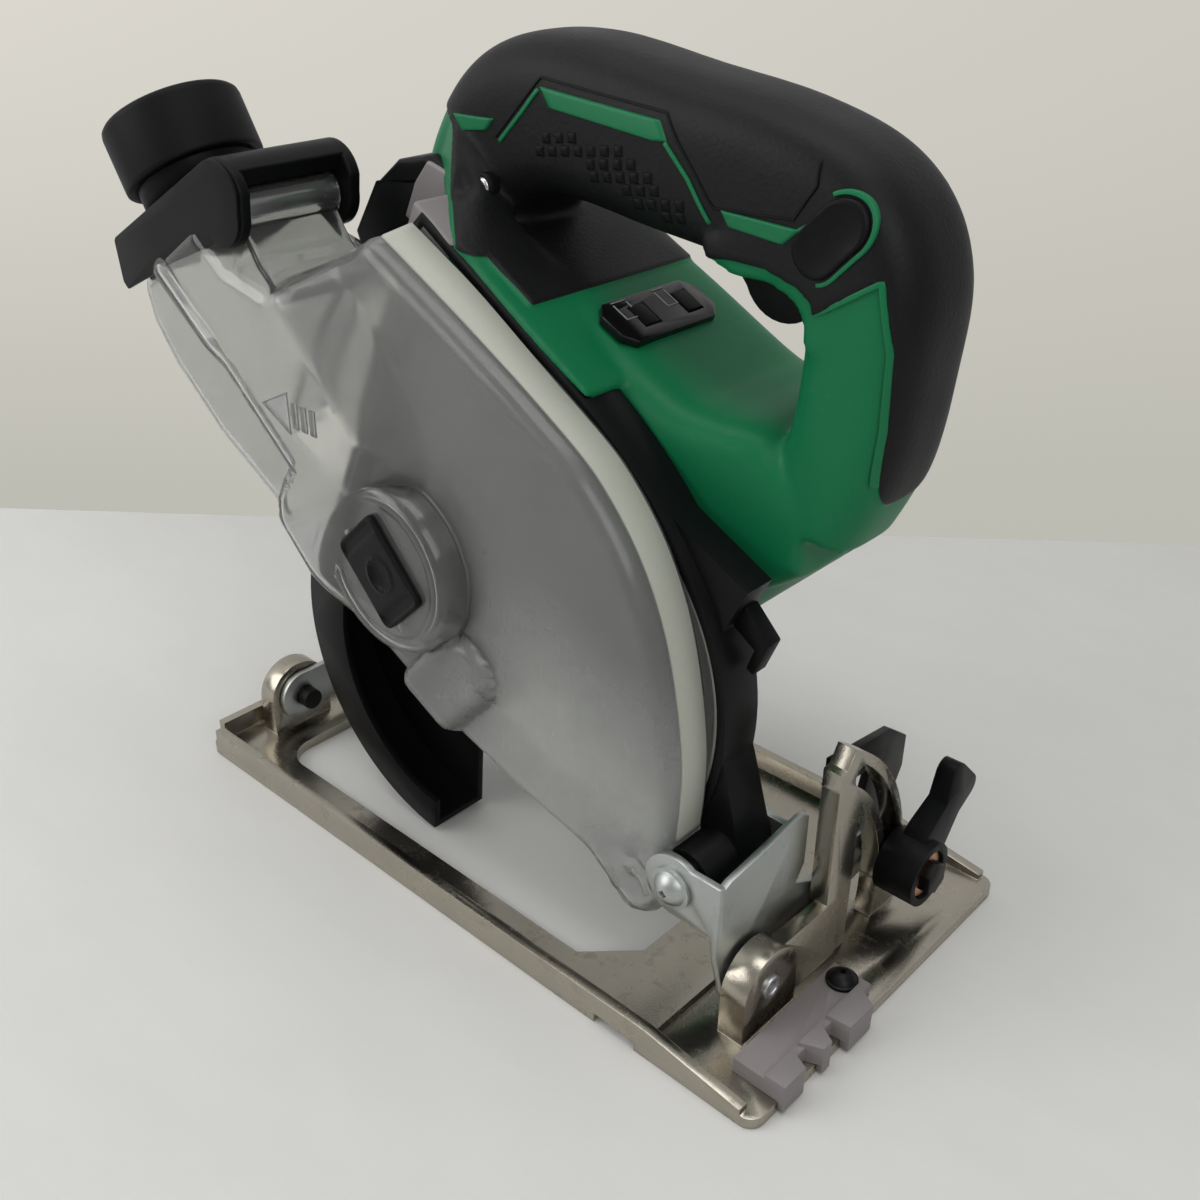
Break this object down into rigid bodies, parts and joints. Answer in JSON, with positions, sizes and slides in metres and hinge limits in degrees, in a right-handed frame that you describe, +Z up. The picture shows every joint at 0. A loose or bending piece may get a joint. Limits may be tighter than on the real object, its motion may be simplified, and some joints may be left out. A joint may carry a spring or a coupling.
{
  "type": "cordless dust-collecting circular saw",
  "caption": "Cordless circular saw with a clear dust cover and hinged dust nozzle, D-handle, plated base, bevel quadrant and depth pivot",
  "frame": {"origin": "middle of the base plate, on its sole", "axes": "+X towards the front of the base (cutting direction), +Y towards the motor side, +Z up from the sole"},
  "size_m": [0.301, 0.162, 0.2651],
  "materials": {
    "nickel_casting": "satin nickel-plated casting",
    "zinc_sheet": "zinc-plated sheet",
    "steel": "turned steel",
    "black_plastic": "fine moulded texture",
    "black_metal": "black oxide",
    "green_plastic": "fine moulded texture",
    "grip_rubber": "soft overmould",
    "grey_plastic": "smooth moulded",
    "clear_plastic": "clear moulded",
    "motor_core": "laminated",
    "copper": "bright contact"
  },
  "bodies": {
    "base": {"base_plate": "nickel_casting", "front_bevel_pin": "black_metal", "rear_bevel_pin": "black_metal", "sight_guide": "grey_plastic", "sight_guide_screw": "black_metal"},
    "bracket": {"front_bracket": "zinc_sheet", "clamp_bolt": "black_metal", "clamp_washer": "copper", "index_tab": "black_metal", "depth_link": "zinc_sheet", "depth_pivot_pin": "steel"},
    "bevel_lever": {"bevel_lever": "black_plastic"},
    "head": {"gear_case": "black_plastic", "chamber_liner": "grey_plastic", "housing_right": "green_plastic", "housing_left": "green_plastic", "handle_grip": "grip_rubber", "motor_housing": "green_plastic", "motor_cap": "black_plastic", "stator": "motor_core", "idler_pin": "steel", "bearings": "steel", "control_panel": "black_plastic", "wrench_clip": "black_plastic", "housing_screws": "steel", "battery_mount": "black_plastic", "battery_terminals": "copper", "depth_lock_bolt": "steel"},
    "guard": {"lower_guard": "black_metal"},
    "cover": {"dust_cover": "clear_plastic", "cover_band": "grey_plastic", "latch_pin": "steel"},
    "latch": {"cover_latch": "black_plastic"},
    "nozzle": {"nozzle_flap": "black_plastic", "nozzle_cuff": "grip_rubber", "nozzle_pin": "steel"},
    "trigger": {"trigger": "black_plastic"},
    "lock_off": {"lock_off_button": "black_plastic"},
    "mode_key": {"mode_key": "grey_plastic"},
    "lamp_key": {"lamp_key": "grey_plastic"},
    "depth_lever": {"depth_lock_lever": "black_plastic"},
    "rotor": {"rotor": "steel"},
    "idler": {"idler_gear": "steel"},
    "spindle": {"spindle": "steel", "outer_flange": "steel", "spindle_bolt": "black_metal"}
  },
  "joints": [
    {"name": "bevel", "type": "hinge", "parent": "base", "child": "bracket", "pos_m": [0, -0.035, 0.018], "axis": [1, 0, 0], "range_deg": [0, 45]},
    {"name": "bevel_lever", "type": "hinge", "parent": "bracket", "child": "bevel_lever", "pos_m": [0.118, 0.03213, 0.02506], "axis": [1, 0, 0], "range_deg": [0, 45]},
    {"name": "depth", "type": "hinge", "parent": "bracket", "child": "head", "pos_m": [0.085, -0.03, 0.049], "axis": [0, -1, 0], "range_deg": [0, 26.6]},
    {"name": "guard_swing", "type": "hinge", "parent": "head", "child": "guard", "pos_m": [-0.025, -0.03, 0.0683], "axis": [0, 1, 0], "range_deg": [0, 95], "stiffness_Nm_per_rad": 0.08, "springref_deg": -28.65},
    {"name": "cover_flip", "type": "hinge", "parent": "head", "child": "cover", "pos_m": [0.085, -0.045, 0.049], "axis": [0, 1, 0], "range_deg": [0, 35]},
    {"name": "latch_lift", "type": "hinge", "parent": "cover", "child": "latch", "pos_m": [-0.03294, -0.0558, 0.10807], "axis": [0.6871, 0, -0.7266], "range_deg": [0, 50]},
    {"name": "nozzle_swing", "type": "hinge", "parent": "cover", "child": "nozzle", "pos_m": [-0.08887, -0.03775, 0.21323], "axis": [0, 1, 0], "range_deg": [0, 70]},
    {"name": "trigger_pull", "type": "slide", "parent": "head", "child": "trigger", "axis": [0.4478, 0, 0.8942], "range_m": [0, 0.006], "stiffness_N_per_m": 600, "springref_m": -0.002},
    {"name": "lock_off_press", "type": "slide", "parent": "head", "child": "lock_off", "axis": [0, 1, 0], "range_m": [0, 0.004], "stiffness_N_per_m": 500, "springref_m": -0.001},
    {"name": "mode_press", "type": "slide", "parent": "head", "child": "mode_key", "axis": [-0.4478, 0, -0.8942], "range_m": [0, 0.0005], "stiffness_N_per_m": 600},
    {"name": "lamp_press", "type": "slide", "parent": "head", "child": "lamp_key", "axis": [-0.4478, 0, -0.8942], "range_m": [0, 0.0005], "stiffness_N_per_m": 600},
    {"name": "depth_lever", "type": "hinge", "parent": "head", "child": "depth_lever", "pos_m": [-0.06389, 0.025, 0.10231], "axis": [0, 1, 0], "range_deg": [0, 45]},
    {"name": "rotor_turn", "type": "hinge", "parent": "head", "child": "rotor", "pos_m": [0.0269, 0.03, 0.11835], "axis": [0, 1, 0], "continuous": true},
    {"name": "idler_turn", "type": "hinge", "parent": "head", "child": "idler", "pos_m": [-0.00158, -0.002, 0.10072], "axis": [0, 1, 0], "continuous": true},
    {"name": "spindle_turn", "type": "hinge", "parent": "head", "child": "spindle", "pos_m": [-0.025, -0.01, 0.0683], "axis": [0, 1, 0], "continuous": true}
  ],
  "couplings": [
    {"joint": "spindle_turn", "follows": "rotor_turn", "ratio": 0.45833},
    {"joint": "idler_turn", "follows": "rotor_turn", "ratio": -0.19643}
  ]
}
